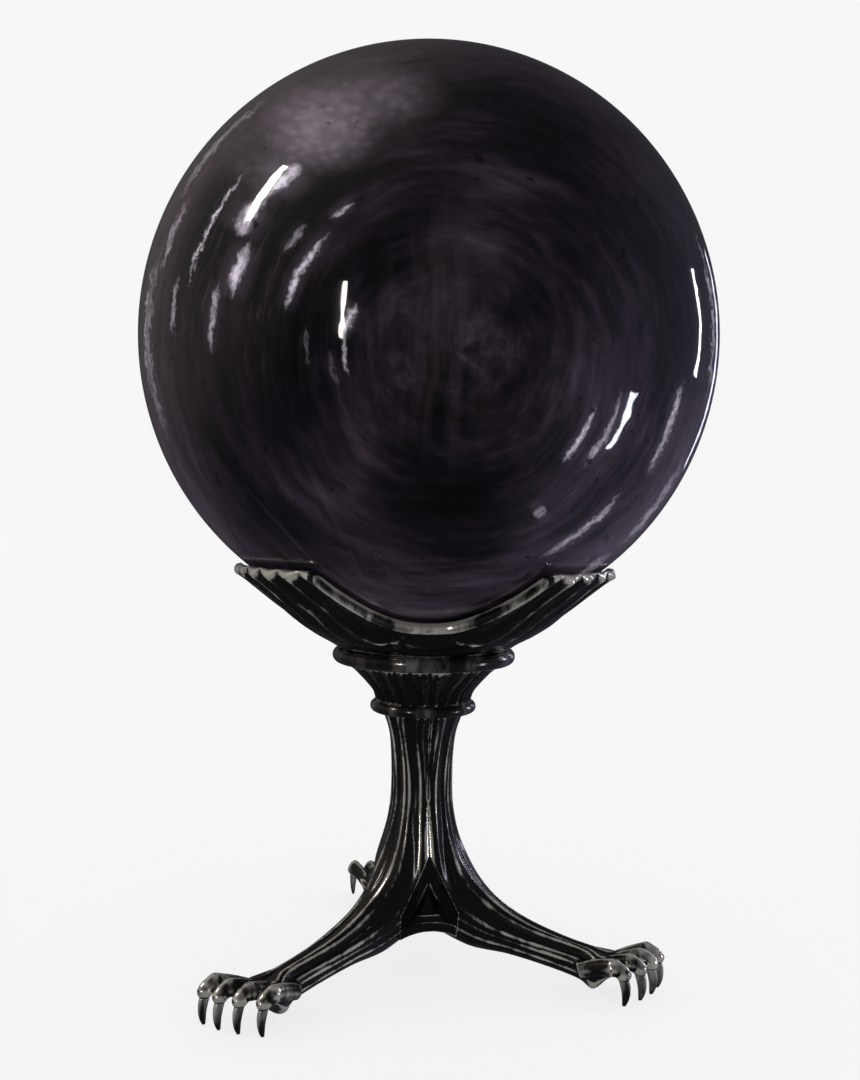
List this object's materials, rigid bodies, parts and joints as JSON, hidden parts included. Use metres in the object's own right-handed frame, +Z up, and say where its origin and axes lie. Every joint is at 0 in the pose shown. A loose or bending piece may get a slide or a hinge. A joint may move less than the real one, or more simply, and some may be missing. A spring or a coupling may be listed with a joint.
{
  "type": "crystal ball",
  "caption": "Dark smoky crystal ball resting in a ribbed three-wing cup on a slender cast stand with three clawed legs.",
  "frame": {"origin": "on the floor under the centre of the ball, on the stand's axis", "axes": "+Z up along the clamping rod, -Y toward the viewer, +X to the viewer's right"},
  "size_m": [0.15, 0.15, 0.2415],
  "materials": {
    "ball_glass": "polished",
    "smoke_glass": "polished",
    "black_iron": "polished",
    "claw_iron": "polished",
    "felt": "matte",
    "rod_steel": "satin"
  },
  "bodies": {
    "stand": {"cup": "black_iron", "upper_collar": "black_iron", "capital": "black_iron", "lower_collar": "black_iron", "left_leg": "black_iron", "right_leg": "black_iron", "back_leg": "black_iron", "left_claw_1": "claw_iron", "left_claw_2": "claw_iron", "left_claw_3": "claw_iron", "left_claw_4": "claw_iron", "right_claw_1": "claw_iron", "right_claw_2": "claw_iron", "right_claw_3": "claw_iron", "right_claw_4": "claw_iron", "back_claw_1": "claw_iron", "back_claw_2": "claw_iron", "back_claw_3": "claw_iron", "back_claw_4": "claw_iron", "front_web": "black_iron", "right_web": "black_iron", "left_web": "black_iron", "base_hub": "black_iron", "tie_rod": "rod_steel", "bottom_washer": "rod_steel", "bottom_nut": "rod_steel", "top_washer": "rod_steel", "top_nut": "rod_steel"},
    "pad": {"seat_felt": "felt"},
    "ball": {"glass_casing": "ball_glass", "smoke_core": "smoke_glass"}
  },
  "joints": [
    {"name": "ball_turn", "type": "hinge", "parent": "stand", "child": "pad", "pos_m": [0, 0, 0.0915], "axis": [0, 0, 1], "continuous": true},
    {"name": "ball_lift", "type": "slide", "parent": "pad", "child": "ball", "axis": [0, 0, 1], "range_m": [0, 0.08]}
  ]
}
